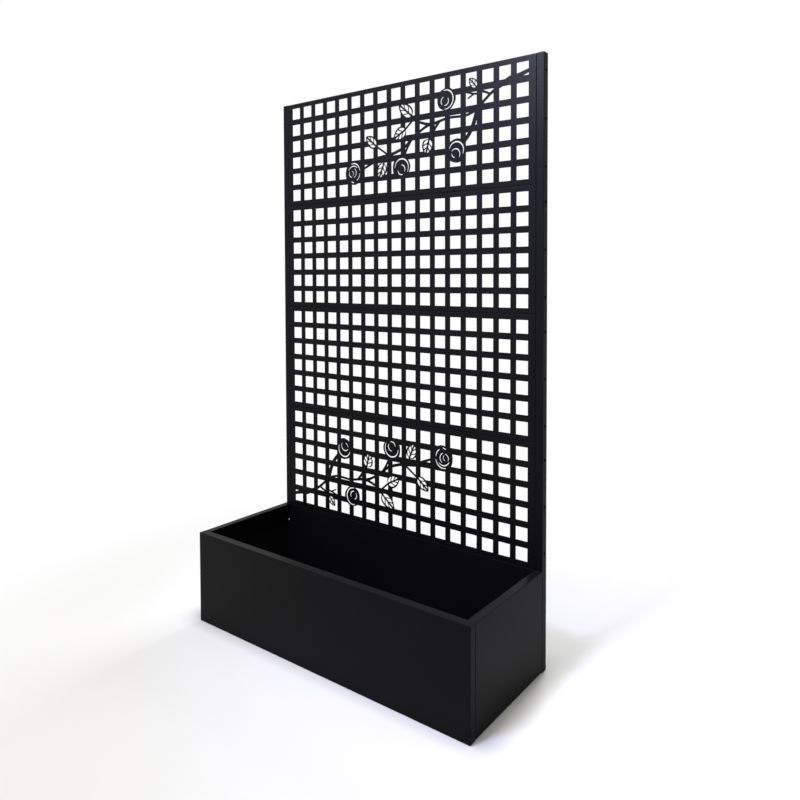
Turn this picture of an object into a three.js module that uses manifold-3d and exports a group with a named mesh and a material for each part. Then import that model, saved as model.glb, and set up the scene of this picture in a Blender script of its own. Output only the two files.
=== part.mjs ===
// Planter box with a tall trellis at its back, in powder-coated sheet steel.
// Millimetres, +Z up, front of the box towards -Y. The origin is on the ground,
// in the middle of the footprint. Every panel is a folded sheet, and two square
// tubes at the back corners hold the panels together with screws.
import * as THREE from 'three';
import { mergeVertices } from 'three/addons/utils/BufferGeometryUtils.js';
import Module from 'manifold-3d';

// ---- Overall sizes
const overallWidth = 1100;
const overallDepth = 400;
const overallHeight = 1800;
const boxHeight = 300;

// ---- Stock
const sheet = 1.2;            // panel sheet
const foldRadius = 2;         // outside radius of a fold
const foldSteps = 2;          // flats along a quarter fold
const postSize = 25;          // square tube
const postWall = 1.2;
const postCorner = 1.8;       // outside corner radius of the tube
const seat = 0.3;             // gap between two pieces that touch

// ---- Trellis panels, stacked between the posts
const trellisCount = 4;
const trellisFlange = 22;     // edge of a panel, turned back
const gridHole = 40;          // square punched holes
const gridBar = 20;
const gridMargin = 15;        // least solid border round the grid

// ---- Planter box
const rimWidth = 25;          // top edge of front and sides, turned in
const cornerReturn = 22;      // front panel wraps this far round the corner
const cornerFlange = 24;      // upright flanges that meet inside the corners
const floorFlange = 20;       // bottom edges that carry the floor
const sideLift = 3;           // sides and back stay this far off the ground
const drainHole = 15;
const drainRows = 2;
const drainColumns = 3;

// ---- Fasteners and plugs
const screwSize = 4;
const screwLength = 10;
const screwHead = 8;
const screwHeadHeight = 2.4;
const screwFit = 0.6;         // hole diameter over screw diameter
const headAccess = 9;         // hole in the post's outer wall, for head and driver
const roundSides = 6;         // flats round a screw or a screw hole
const drainSides = 8;
const trellisScrewInset = 50; // first and last screw from a panel's ends
const cornerScrewInset = 65;
const backScrewInset = 50;
const plugPlate = 3;
const plugDepth = 12;

// ---- Rose vine, drawn on the grid: points are [cells to the right of, cells above]
// the middle of the top right hole, and widths, lengths and radii are in millimetres
const vineBranches = {
  trunk: [[0.5, -0.07, 10], [-0.25, -0.29, 15], [-0.75, -0.38, 18], [-1.63, -0.78, 10],
    [-2.28, -1.25, 9], [-2.62, -1.6, 13], [-2.87, -2.29, 14], [-3.15, -2.78, 13],
    [-3.58, -3.24, 11]],
  runner: [[-2.6, -1.56, 9], [-3.35, -1.79, 8], [-4.42, -1.77, 8], [-5.33, -1.93, 9.5],
    [-5.75, -1.98, 10], [-6.3, -2.23, 8.5], [-6.97, -2.66, 10], [-7.4, -2.97, 10],
    [-8.32, -3.26, 10.5], [-9.33, -3.39, 12], [-9.77, -3.62, 9], [-10.75, -4, 7]],
  trunkTwig: [[-2.43, -0.68, 7.5], [-2.12, -0.79, 7.5], [-1.83, -0.94, 7.5]],
  upperTwig: [[-2.42, -0.81, 7], [-2.87, -0.76, 6], [-3.28, -0.64, 5]],
  upperFork: [[-2.8, -0.76, 6], [-3.23, -0.96, 4.5]],
  runnerFork: [[-5.6, -1.94, 8], [-5.97, -1.88, 9], [-6.37, -1.74, 8]],
  runnerSpur: [[-4.97, -1.84, 8], [-5.22, -2.09, 9], [-5.42, -2.39, 7]],
  lowerSpur: [[-6.9, -2.61, 8.5], [-7.17, -2.99, 7.5], [-7.37, -3.36, 7]],
};
const leafRim = 3.8;
const leafMidrib = 4.2;
const leafVein = 3;
const leafStalk = 5.2;
const leafVeins = 2;          // side veins along each half of a leaf
// along a leaf, as parts of its length
const veinSlant = 0.2;        // how far a side vein runs towards the tip
const leafFoot = 0.05;        // solid part at the base
const leafStations = [0.1, 0.35, 0.6, 0.83];
const leafRound = 0.45;       // powers of the outline towards base and tip:
const leafPoint = 0.75;       // the higher, the more pointed
const vineLeaves = [          // base, tip, width, and where the stalk ends
  { base: [-6.89, -1.36], tip: [-7.78, -0.63], wide: 46, stalk: [-6.73, -1.46] },
  { base: [-7.33, -2.02], tip: [-8.16, -2.44], wide: 44, stalk: [-6.83, -1.59] },
  { base: [-9.45, -2.74], tip: [-10.12, -2.14], wide: 38, stalk: [-8.6, -3.25] },
  { base: [-5.71, -2.73], tip: [-5.92, -3.52], wide: 43, stalk: [-5.67, -2.55] },
  { base: [-8.89, -3.73], tip: [-9.27, -4.54], wide: 44, stalk: [-8.84, -3.5] },
  { base: [-2.68, -0.44], tip: [-3.13, 0.06], wide: 28, stalk: [-2.58, -0.56] },
];
const roseSides = 14;
const slitStep = 32;          // degrees between the points of a curved slit
const slitEnd = 0.35;         // width left at a slit's ends
// each petal slit: [centre to the right, centre up, first radius, last radius,
// first angle, last angle, width], in millimetres and degrees
const vineRoses = [
  { at: [-4.57, -0.78], radius: 35, slits: [[0, 0, 27.5, 30.5, 108, -95, 5],
    [-5, -5, 14, 14, 105, 222, 3.8], [-5, -5, 15, 15, 26, -98, 3.8]] },
  { at: [-3.93, -3.52], radius: 35, slits: [[0, 0, 28.5, 27, 163, -22, 5],
    [-4, -11, 15.5, 15.5, 135, -30, 4], [-4, -8, 13.5, 13.5, 172, 270, 3.4]] },
  { at: [-7.62, -4.04], radius: 36, slits: [[0, -4, 26.5, 29, 178, -37, 4.8],
    [0, -12, 14.5, 14.5, 85, -35, 4], [0, -12, 14.5, 14.5, 183, 272, 3.8]] },
  { at: [-11.2, -4.08], radius: 36.5, slits: [[0, 0, 30.5, 30.5, 107, 6, 3.8],
    [0, 0, 30.5, 30.5, -8, -60, 3.4], [0, 0, 30, 30, -110, -86, 3.4],
    [0, 0, 24, 24, 150, 35, 3.4], [-5, 0, 17, 17, 40, -75, 3.4],
    [-6, -1, 11, 11, 110, 285, 3.2], [-3, 0, 7, 7, 85, -60, 2.8]] },
];

// ---- Materials
const coat = new THREE.MeshStandardMaterial({ color: 0x17171b, roughness: 0.45, metalness: 0.2 });
const steel = new THREE.MeshStandardMaterial({ color: 0x6c6e72, roughness: 0.4, metalness: 0.9 });
const plastic = new THREE.MeshStandardMaterial({ color: 0x121214, roughness: 0.6, metalness: 0 });

// ---- Worked out from the sizes
const halfWidth = overallWidth / 2;
const frontFace = -overallDepth / 2;
const backFace = overallDepth / 2;
const postFront = backFace - postSize;
const postInner = halfWidth - postSize;
const postMiddle = halfWidth - postSize / 2;
const postAxisY = backFace - postSize / 2;
const panelWidth = overallWidth - 2 * (postSize + seat);
const trellisPitch = (overallHeight - boxHeight) / trellisCount;
const trellisHeight = trellisPitch - seat;
const cell = gridHole + gridBar;
const fitCells = (length) => Math.floor((length - 2 * gridMargin + gridBar) / cell);
const gridColumns = fitCells(panelWidth);
const gridRows = fitCells(trellisHeight);
const screwHole = screwSize + screwFit;

// ---- Solids: three.js makes the shapes, manifold-3d joins and cuts them
const wasm = await Module();
wasm.setup();

function solid(geometry) {
  const bare = geometry.clone();
  bare.deleteAttribute('normal');
  bare.deleteAttribute('uv');
  const merged = mergeVertices(bare);
  return new wasm.Manifold(new wasm.Mesh({
    numProp: 3,
    vertProperties: new Float32Array(merged.attributes.position.array),
    triVerts: new Uint32Array(merged.index.array),
  }));
}

function join(solids) {
  return solids.reduce((sum, next) => sum.add(next));
}

function geometryOf(body) {
  const mesh = body.getMesh();
  const geometry = new THREE.BufferGeometry();
  geometry.setAttribute('position', new THREE.BufferAttribute(new Float32Array(mesh.vertProperties), 3));
  geometry.setIndex(new THREE.BufferAttribute(new Uint32Array(mesh.triVerts), 1));
  const flat = geometry.toNonIndexed();
  flat.computeVertexNormals();
  return flat;
}

// ---- Extrusions of an outline along one axis
const axisX = new THREE.Vector3(1, 0, 0);
const axisY = new THREE.Vector3(0, 1, 0);
const axisZ = new THREE.Vector3(0, 0, 1);

function shapeOf(points) {
  return new THREE.Shape(points.map(([a, b]) => new THREE.Vector2(a, b)));
}

function extrude(points, length) {
  return new THREE.ExtrudeGeometry(shapeOf(points), { depth: length, bevelEnabled: false });
}

// outline in (y, z), solid from x = from to x = to
function alongX(points, from, to) {
  const geometry = extrude(points, to - from);
  geometry.applyMatrix4(new THREE.Matrix4().makeBasis(axisY, axisZ, axisX));
  return solid(geometry.translate(from, 0, 0));
}

// outline in (x, z), solid from y = from to y = to
function alongY(points, from, to) {
  const geometry = extrude(points, to - from);
  geometry.applyMatrix4(new THREE.Matrix4().makeBasis(axisX, axisZ, axisY.clone().negate()));
  return solid(geometry.translate(0, to, 0));
}

// outline in (x, y), solid from z = from to z = to
function alongZ(points, from, to) {
  return solid(extrude(points, to - from).translate(0, 0, from));
}

function rectangle(left, right, low, high) {
  return [[left, low], [right, low], [right, high], [left, high]];
}

function circle(x, y, radius, sides) {
  return Array.from({ length: sides }, (_, i) => {
    const angle = ((i + 0.5) / sides) * 2 * Math.PI;
    return [x + radius * Math.cos(angle), y + radius * Math.sin(angle)];
  });
}

// Outline of a folded sheet. The path is its outer face, with the sheet's
// thickness on the right-hand side and a rounded fold at each inner point.
function foldedSheet(path) {
  const outer = [];
  const inner = [];
  const heading = path.slice(1).map(([x, y], i) =>
    new THREE.Vector2(x - path[i][0], y - path[i][1]).normalize());
  const inward = heading.map((d) => new THREE.Vector2(d.y, -d.x));
  const put = (point, normal) => {
    outer.push([point.x, point.y]);
    inner.push([point.x + normal.x * sheet, point.y + normal.y * sheet]);
  };
  path.forEach(([x, y], i) => {
    const corner = new THREE.Vector2(x, y);
    if (i === 0 || i === path.length - 1) {
      put(corner, inward[Math.min(i, inward.length - 1)]);
      return;
    }
    const centre = corner.clone()
      .addScaledVector(heading[i - 1], -foldRadius)
      .addScaledVector(inward[i - 1], foldRadius);
    for (let k = 0; k <= foldSteps; k += 1) {
      const turn = (k / foldSteps) * (Math.PI / 2);
      const normal = inward[i - 1].clone().multiplyScalar(Math.cos(turn))
        .addScaledVector(inward[i], Math.sin(turn));
      put(centre.clone().addScaledVector(normal, -foldRadius), normal);
    }
  });
  return [...outer, ...inner.reverse()];
}

// ---- A screw hole or screw lies along one axis: position of its middle and a reach
function holeAlongX(y, z, from, to, diameter) {
  return alongX(circle(y, z, diameter / 2, roundSides), from, to);
}

function holeAlongY(x, z, from, to, diameter) {
  return alongY(circle(x, z, diameter / 2, roundSides), from, to);
}

// heights of the screws in a joint of some length, spread evenly about its middle
function screwHeights(middle, length, inset, count) {
  const reach = length / 2 - inset;
  return Array.from({ length: count }, (_, i) => middle + reach - (2 * reach * i) / (count - 1));
}
const trellisScrews = screwHeights(0, trellisPitch, trellisScrewInset, 3);
const backScrews = screwHeights(boxHeight / 2, boxHeight, backScrewInset, 2);
const cornerScrews = screwHeights(boxHeight / 2, boxHeight, cornerScrewInset, 2);

// ---- Trellis panel: a tray, face at y = 0, edges turned back, middle at the origin
function tray(trayWidth, trayHeight, flange) {
  const across = trayWidth / 2;
  const up = trayHeight / 2;
  const rail = foldedSheet([[flange, -up], [0, -up], [0, up], [flange, up]]);
  const stile = foldedSheet([[across, flange], [across, 0], [-across, 0], [-across, flange]]);
  return alongX(rail, foldRadius - across, across - foldRadius)
    .add(alongZ(stile, foldRadius - up, up - foldRadius));
}

function sideScrewHoles(trayWidth, heights) {
  const y = postAxisY - postFront;
  return join(heights.map((z) => holeAlongX(y, z, -trayWidth, trayWidth, screwHole)));
}

// ---- Grid: the holes are centred on the panel
const gridRight = ((gridColumns - 1) * cell) / 2;
const gridTop = ((gridRows - 1) * cell) / 2;
const faceCut = [-sheet, 2 * sheet];      // reach of a cut through the face

function gridHoles() {
  const outlines = [];
  for (let row = 0; row < gridRows; row += 1) {
    for (let column = 0; column < gridColumns; column += 1) {
      const x = gridRight - column * cell;
      const z = gridTop - row * cell;
      outlines.push(rectangle(x - gridHole / 2, x + gridHole / 2, z - gridHole / 2, z + gridHole / 2));
    }
  }
  return outlines;
}

function through(outlines) {
  const geometry = new THREE.ExtrudeGeometry(outlines.map(shapeOf),
    { depth: faceCut[1] - faceCut[0], bevelEnabled: false });
  geometry.applyMatrix4(new THREE.Matrix4().makeBasis(axisX, axisZ, axisY.clone().negate()));
  return solid(geometry.translate(0, faceCut[1], 0));
}

// ---- Vine
function onGrid([right, up]) {
  return new THREE.Vector2(gridRight + right * cell, gridTop + up * cell);
}

// a branch is a ribbon of changing width along its points
function branchOutline(points) {
  const at = points.map(onGrid);
  const left = [];
  const right = [];
  points.forEach(([, , wide], i) => {
    const before = at[Math.max(i - 1, 0)];
    const after = at[Math.min(i + 1, at.length - 1)];
    const along = after.clone().sub(before).normalize();
    left.push([at[i].x - (along.y * wide) / 2, at[i].y + (along.x * wide) / 2]);
    right.push([at[i].x + (along.y * wide) / 2, at[i].y - (along.x * wide) / 2]);
  });
  return [...left, ...right.reverse()];
}

// a leaf's own frame: from 0 at the base to 1 at the tip, and millimetres across
function leafFrame({ base, tip }) {
  const foot = onGrid(base);
  const axis = onGrid(tip).sub(foot);
  const across = new THREE.Vector2(-axis.y, axis.x).normalize();
  return {
    length: axis.length(),
    place: (s, t) => [foot.x + axis.x * s + across.x * t, foot.y + axis.y * s + across.y * t],
  };
}

// half width of a leaf: round at the base, pointed at the tip
const bulge = (s) => (s ** leafRound) * ((1 - s) ** leafPoint);
const widest = bulge(leafRound / (leafRound + leafPoint));

function leafHalf(s, wide) {
  return (wide / 2) * (bulge(s) / widest);
}

function leafOutline(leaf) {
  const { place } = leafFrame(leaf);
  return [
    place(0, 0),
    ...leafStations.map((s) => place(s, -leafHalf(s, leaf.wide))),
    place(1, 0),
    ...leafStations.toReversed().map((s) => place(s, leafHalf(s, leaf.wide))),
  ];
}

// the openings between midrib, side veins and rim
function leafCells(leaf) {
  const { length, place } = leafFrame(leaf);
  const vein = leafVein / length / 2;
  const rimAt = (s) => Math.max(leafHalf(s, leaf.wide) - leafRim, leafMidrib);
  const step = (1 - veinSlant) / (leafVeins + 1);
  const cells = [];
  for (const side of [-1, 1]) {
    for (let i = 0; i <= leafVeins; i += 1) {
      const from = i * step + (i === 0 ? leafFoot : vein);
      const to = (i + 1) * step - vein;
      const rimFrom = i === 0 ? from : from + veinSlant;
      const rimTo = to + veinSlant;
      const near = side * (leafMidrib / 2);
      cells.push(i === leafVeins
        ? [place(from, near), place(rimTo, near), place(rimFrom, side * rimAt(rimFrom))]
        : [place(from, near), place(to, near),
          place(rimTo, side * rimAt(rimTo)), place(rimFrom, side * rimAt(rimFrom))]);
    }
  }
  return cells;
}

function petalSlit(rose, [right, up, first, last, start, end, wide]) {
  const middle = onGrid(rose.at).add(new THREE.Vector2(right, up));
  const steps = Math.ceil(Math.abs(end - start) / slitStep);
  const outer = [];
  const inner = [];
  for (let k = 0; k <= steps; k += 1) {
    const f = k / steps;
    const angle = THREE.MathUtils.degToRad(start + (end - start) * f);
    const radius = first + (last - first) * f;
    const half = (wide / 2) * (slitEnd + (1 - slitEnd) * Math.sin(Math.PI * f));
    outer.push([middle.x + (radius + half) * Math.cos(angle), middle.y + (radius + half) * Math.sin(angle)]);
    inner.push([middle.x + (radius - half) * Math.cos(angle), middle.y + (radius - half) * Math.sin(angle)]);
  }
  return [...outer, ...inner.reverse()];
}

// a leaf's stalk runs on into the solid part at its base
function stalkOutline({ base, tip, stalk }) {
  const inLeaf = base.map((from, i) => from + (tip[i] - from) * leafFoot);
  return branchOutline([[...inLeaf, leafStalk], [...stalk, leafStalk]]);
}

function vineMetal() {
  const outlines = Object.values(vineBranches).map(branchOutline);
  for (const leaf of vineLeaves) {
    outlines.push(stalkOutline(leaf));
    outlines.push(leafOutline(leaf));
  }
  for (const rose of vineRoses) {
    const { x, y } = onGrid(rose.at);
    outlines.push(circle(x, y, rose.radius, roseSides));
  }
  return join(outlines.map((outline) => through([outline])));
}

function vineCuts() {
  const slits = vineRoses.flatMap((rose) => rose.slits.map((slit) => petalSlit(rose, slit)));
  return join([...vineLeaves.flatMap(leafCells), ...slits].map((outline) => through([outline])));
}

// ---- The panels
const blank = tray(panelWidth, trellisHeight, trellisFlange)
  .subtract(sideScrewHoles(panelWidth, trellisScrews));
const plainTrellis = geometryOf(blank.subtract(through(gridHoles())));
const roseTrellis = geometryOf(
  blank.subtract(through(gridHoles()).subtract(vineMetal())).subtract(vineCuts()));

// back of the box: top and sides turned back, foot turned forward under the floor
function backPanel() {
  const low = sideLift;
  const high = boxHeight - seat / 2;
  const across = panelWidth / 2;
  const head = foldedSheet([[0, low + foldRadius], [0, high], [trellisFlange, high]]);
  const stile = foldedSheet([[across, trellisFlange], [across, 0], [-across, 0], [-across, trellisFlange]]);
  const foot = foldedSheet([[sheet, boxHeight / 2], [sheet, low], [-floorFlange, low]]);
  const footEnd = across - cornerFlange;
  return alongX(head, foldRadius - across, across - foldRadius)
    .add(alongZ(stile, low + foldRadius, high - foldRadius))
    .add(alongX(foot, -footEnd, footEnd))
    .subtract(sideScrewHoles(panelWidth, backScrews));
}

// front of the box: returns and lips at the ends, rim at the top, flange at the foot
const mitreGap = seat / Math.SQRT2;
const flangeEnd = halfWidth - cornerFlange;

function frontPanel() {
  const lip = frontFace + cornerReturn;
  const ends = halfWidth - foldRadius;
  const plan = foldedSheet([[flangeEnd, lip], [halfWidth, lip], [halfWidth, frontFace],
    [-halfWidth, frontFace], [-halfWidth, lip], [-flangeEnd, lip]]);
  const section = foldedSheet([[frontFace + floorFlange, 0], [frontFace, 0],
    [frontFace, boxHeight], [frontFace + rimWidth, boxHeight]]);
  const mitreReach = rimWidth + foldRadius;
  const mitre = (hand) => alongZ([[hand * (halfWidth - mitreGap), frontFace],
    [hand * (halfWidth + sheet), frontFace], [hand * (halfWidth + sheet), frontFace + mitreReach],
    [hand * (halfWidth - mitreGap - mitreReach), frontFace + mitreReach]],
  boxHeight - sheet - seat / 2, boxHeight + sheet);
  const hole = (hand, z) => holeAlongY(hand * postMiddle, z, lip - 2 * sheet, lip + sheet, screwHole);
  return alongZ(plan, foldRadius, boxHeight - sheet - seat)
    .add(alongX(section, -ends, ends))
    .subtract(mitre(-1))
    .subtract(mitre(1))
    .subtract(join(cornerScrews.flatMap((z) => [hole(-1, z), hole(1, z)])));
}

// left side of the box, in a frame at its outer front corner: x inwards, y to the back
const sideFront = cornerReturn + seat;
const sideBack = overallDepth - postSize - seat;

function sidePanel() {
  const plan = foldedSheet([[cornerFlange, sideFront], [0, sideFront],
    [0, sideBack], [cornerFlange, sideBack]]);
  const section = foldedSheet([[floorFlange, sideLift], [0, sideLift],
    [0, boxHeight], [rimWidth, boxHeight]]);
  const foldStart = Math.max(rimWidth, sideFront) + foldRadius;
  const rim = [[0, foldRadius], [foldRadius - mitreGap, foldRadius],
    [rimWidth, rimWidth + mitreGap], [rimWidth, sideBack], [foldRadius, sideBack],
    [foldRadius, foldStart], [0, foldStart]];
  const hole = (y, z) => holeAlongY(postSize / 2, z, y - 2 * sheet, y + 2 * sheet, screwHole);
  return alongZ(plan, sideLift + foldRadius, boxHeight - foldRadius)
    .add(alongY(section, foldStart, sideBack - foldRadius))
    .add(alongZ(rim, boxHeight - sheet, boxHeight))
    .subtract(join(cornerScrews.flatMap((z) => [hole(sideFront, z), hole(sideBack, z)])));
}

// floor of the box, lying on the flanges of sides and back; its front edge is
// turned down onto the front panel's flange
const floorUnder = sideLift + sheet + seat;

function floorPanel() {
  const top = floorUnder + sheet;
  const front = frontFace + sheet + seat;
  const back = postFront - seat;
  const narrow = flangeEnd - seat;
  const wide = halfWidth - sheet - seat;
  const wingFront = frontFace + sideFront + sheet + seat;
  const wingBack = postFront - 2 * seat - sheet;
  const edge = foldedSheet([[front, sheet + seat], [front, top], [front + rimWidth, top]]);
  const plate = [[-narrow, front + foldRadius], [narrow, front + foldRadius], [narrow, wingFront],
    [wide, wingFront], [wide, wingBack], [narrow, wingBack], [narrow, back],
    [-narrow, back], [-narrow, wingBack], [-wide, wingBack], [-wide, wingFront], [-narrow, wingFront]];
  const drains = [];
  for (let row = 0; row < drainRows; row += 1) {
    for (let column = 0; column < drainColumns; column += 1) {
      const x = ((column + 0.5) / drainColumns - 0.5) * overallWidth;
      const y = ((row + 0.5) / drainRows - 0.5) * overallDepth;
      drains.push(alongZ(circle(x, y, drainHole / 2, drainSides), 0, top + sheet));
    }
  }
  return alongZ(plate, floorUnder, top).add(alongX(edge, -narrow, narrow)).subtract(join(drains));
}

// ---- Left post, in a frame on its axis at ground level: +x is its inner side
function roundedSquare(half, radius) {
  const inner = half - radius;
  return [[1, 1], [-1, 1], [-1, -1], [1, -1]].flatMap(([sx, sy], quarter) =>
    [0, 1, 2].map((k) => {
      const angle = (quarter + k / 2) * (Math.PI / 2);
      return [sx * inner + radius * Math.cos(angle), sy * inner + radius * Math.sin(angle)];
    }));
}
const postOutline = roundedSquare(postSize / 2, postCorner);
const postBore = postSize - 2 * postWall;

function square(size) {
  return rectangle(-size / 2, size / 2, -size / 2, size / 2);
}

// the middle heights of the trellis panels
const trellisMiddles = Array.from({ length: trellisCount }, (_, i) => boxHeight + trellisPitch * (i + 0.5));

function post() {
  const low = plugPlate + seat;
  const high = overallHeight - plugPlate - seat;
  const side = postSize / 2;
  const lowWall = [-side - postWall, -side + 2 * postWall];     // towards -x or -y
  const highWall = [side - 2 * postWall, side + postWall];
  const holes = [
    ...trellisMiddles.flatMap((middle) => trellisScrews.flatMap((z) => [
      holeAlongX(0, middle + z, ...lowWall, headAccess),
      holeAlongX(0, middle + z, ...highWall, screwHole)])),
    ...backScrews.map((z) => holeAlongX(0, z, ...highWall, screwHole)),
    ...cornerScrews.map((z) => holeAlongY(0, z, ...lowWall, screwHole)),
  ];
  return alongZ(postOutline, low, high)
    .subtract(alongZ(square(postBore), 0, overallHeight))
    .subtract(join(holes));
}

// plug of a tube's end: a plate over the end and a block inside, standing at z = 0
function plug() {
  return alongZ(postOutline, 0, plugPlate).add(alongZ(square(postBore - 2 * seat), 0, plugPlate + plugDepth));
}

// ---- Screw: the head's seat is at z = 0 and the shank points up
function screw() {
  return alongZ(circle(0, 0, screwHead / 2, roundSides), -screwHeadHeight, 0)
    .add(alongZ(circle(0, 0, screwSize / 2, roundSides), -screwHeadHeight, screwLength));
}

// the same piece for the other hand
function mirrored(geometry) {
  const other = geometry.clone().scale(-1, 1, 1);
  const { array } = other.attributes.position;
  for (let i = 0; i < array.length; i += 9) {
    const first = array.slice(i, i + 3);
    array.copyWithin(i, i + 3, i + 6);
    array.set(first, i + 3);
  }
  other.computeVertexNormals();
  return other;
}

// ---- Assembly
const planter = new THREE.Group();

function piece(name, geometry, material, position, rotation = [0, 0, 0]) {
  const mesh = new THREE.Mesh(geometry, material);
  mesh.name = name;
  mesh.position.set(...position);
  mesh.rotation.set(...rotation);
  planter.add(mesh);
}

piece('planter_front', geometryOf(frontPanel()), coat, [0, 0, 0]);
piece('planter_back', geometryOf(backPanel()), coat, [0, postFront, 0]);
piece('planter_floor', geometryOf(floorPanel()), coat, [0, 0, 0]);

// the lowest trellis panel is the top one turned upside down
trellisMiddles.forEach((middle, i) => {
  const rose = i === 0 || i === trellisCount - 1;
  const turned = i === 0 ? Math.PI : 0;
  piece(`trellis_panel_${i + 1}`, rose ? roseTrellis : plainTrellis, coat,
    [0, postFront, middle], [0, turned, 0]);
});

const sideShape = geometryOf(sidePanel());
const postShape = geometryOf(post());
const plugShape = geometryOf(plug());
const screwShape = geometryOf(screw());

for (const [side, hand] of [['left', -1], ['right', 1]]) {
  const handed = (geometry) => (hand === -1 ? geometry : mirrored(geometry));
  const outward = [0, hand * (Math.PI / 2), 0];
  const inward = [0, -hand * (Math.PI / 2), 0];
  piece(`planter_side_${side}`, handed(sideShape), coat, [hand * halfWidth, frontFace, 0]);
  piece(`post_${side}`, handed(postShape), coat, [hand * postMiddle, postAxisY, 0]);
  piece(`foot_plug_${side}`, plugShape, plastic, [hand * postMiddle, postAxisY, 0]);
  piece(`top_plug_${side}`, plugShape, plastic, [hand * postMiddle, postAxisY, overallHeight],
    [Math.PI, 0, 0]);

  // inside the post, through its inner wall into the panel's edge
  const headSeat = hand * (postInner + postWall + seat);
  trellisMiddles.forEach((middle, i) => {
    trellisScrews.forEach((z, k) => {
      piece(`trellis_${i + 1}_screw_${side}_${k + 1}`, screwShape, steel,
        [headSeat, postAxisY, middle + z], inward);
    });
  });
  // behind the back panel, through its edge into the post
  backScrews.forEach((z, k) => {
    piece(`back_screw_${side}_${k + 1}`, screwShape, steel,
      [hand * (panelWidth / 2 - sheet - seat), postAxisY, z], outward);
  });
  // inside the box: side to front panel, and side to post
  cornerScrews.forEach((z, k) => {
    piece(`front_corner_screw_${side}_${k + 1}`, screwShape, steel,
      [hand * postMiddle, frontFace + sideFront + sheet + seat, z], [Math.PI / 2, 0, 0]);
    piece(`rear_corner_screw_${side}_${k + 1}`, screwShape, steel,
      [hand * postMiddle, frontFace + sideBack - sheet - seat, z], [-Math.PI / 2, 0, 0]);
  });
}

export default planter;
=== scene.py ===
from math import cos, pi, radians, sin

import bmesh
import bpy
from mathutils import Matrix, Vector
from mathutils.geometry import delaunay_2d_cdt, interpolate_bezier


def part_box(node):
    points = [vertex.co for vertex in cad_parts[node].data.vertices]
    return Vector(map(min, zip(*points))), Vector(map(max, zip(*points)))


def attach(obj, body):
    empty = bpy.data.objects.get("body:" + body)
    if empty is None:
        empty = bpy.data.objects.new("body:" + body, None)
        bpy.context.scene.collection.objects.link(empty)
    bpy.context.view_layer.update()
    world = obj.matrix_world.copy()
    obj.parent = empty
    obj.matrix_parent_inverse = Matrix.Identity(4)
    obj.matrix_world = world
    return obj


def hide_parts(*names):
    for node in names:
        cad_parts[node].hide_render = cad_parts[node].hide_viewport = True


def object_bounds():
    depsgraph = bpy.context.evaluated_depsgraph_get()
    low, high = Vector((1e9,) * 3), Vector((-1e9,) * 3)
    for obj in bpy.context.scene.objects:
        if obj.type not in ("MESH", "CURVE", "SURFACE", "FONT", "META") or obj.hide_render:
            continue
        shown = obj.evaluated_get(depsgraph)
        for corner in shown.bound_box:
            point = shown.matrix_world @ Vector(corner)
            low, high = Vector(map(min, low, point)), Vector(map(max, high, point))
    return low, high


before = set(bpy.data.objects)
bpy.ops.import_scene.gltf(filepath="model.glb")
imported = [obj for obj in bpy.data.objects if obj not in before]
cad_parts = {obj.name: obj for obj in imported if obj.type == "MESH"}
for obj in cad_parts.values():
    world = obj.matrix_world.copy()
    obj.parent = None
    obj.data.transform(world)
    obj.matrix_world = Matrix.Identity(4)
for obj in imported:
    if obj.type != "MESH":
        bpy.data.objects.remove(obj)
cad_low, cad_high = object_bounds()

# ---- Camera
# The planter is seen from its right, from a little over half its height. The
# picture was cropped off centre, so the lens is shifted by a small amount.
picture = 800                                # pixels along a side
focal_pixels = 675.3
axis_pixel = (467.5, 300.1)                  # where the lens axis meets the picture
eye = (1.4604, -1.5511, 1.1538)
turned_left = radians(34.22)
tilted_down = radians(1.82)

bpy.ops.object.select_all(action="DESELECT")
bpy.ops.object.camera_add(location=eye, rotation=(pi / 2 - tilted_down, 0, turned_left))
camera = bpy.context.object
camera.name = "camera"
camera.data.lens = focal_pixels / picture * camera.data.sensor_width
camera.data.shift_x = (picture / 2 - axis_pixel[0]) / picture
camera.data.shift_y = (axis_pixel[1] - picture / 2) / picture
bpy.context.scene.camera = camera
bpy.context.scene.view_settings.view_transform = "Standard"

# ---- Front of the box
# One sheet of 1.2 mm steel, cut, folded and powder-coated. Its ends wrap round the
# corners and turn in as lips, its top is a rim with mitred ends, and its foot is
# turned back under the floor. All folds have the same outside radius.
sheet = 0.0012
fold = 0.002                     # outside radius
relief = 0.0021                  # corner notch of the blank, just over the fold
edge = 0.0002                    # rounding that the coating leaves on a cut edge
seat = 0.0003                    # gap between pieces that touch
mitre_gap = 0.0002
rim = 0.025
corner_return = 0.022
corner_lip = 0.024
floor_flange = 0.020
hair = 1e-5                      # nearness of two places


def near(a, b):
    return abs(a - b) < hair


def pick(piece, test, kind="EDGE"):
    """In edit mode, selects the edges or faces whose points all pass the test."""
    bpy.ops.mesh.select_mode(type=kind)
    bpy.ops.mesh.select_all(action="DESELECT")
    mesh = bmesh.from_edit_mesh(piece.data)
    for part in mesh.edges if kind == "EDGE" else mesh.faces:
        if all(test(v.co) for v in part.verts):
            part.select_set(True)
    bmesh.update_edit_mesh(piece.data)


def pick_whole(piece, test):
    """In edit mode, selects the edges that pass the test as a whole."""
    bpy.ops.mesh.select_mode(type="EDGE")
    bpy.ops.mesh.select_all(action="DESELECT")
    mesh = bmesh.from_edit_mesh(piece.data)
    for side in mesh.edges:
        side.select_set(test(side))
    bmesh.update_edit_mesh(piece.data)


def pull(piece, test, *moves):
    """Pulls new metal out of the edges that pass the test, once for each move."""
    pick(piece, test)
    for move in moves:
        bpy.ops.mesh.extrude_region_move(TRANSFORM_OT_translate={"value": move})


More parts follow.
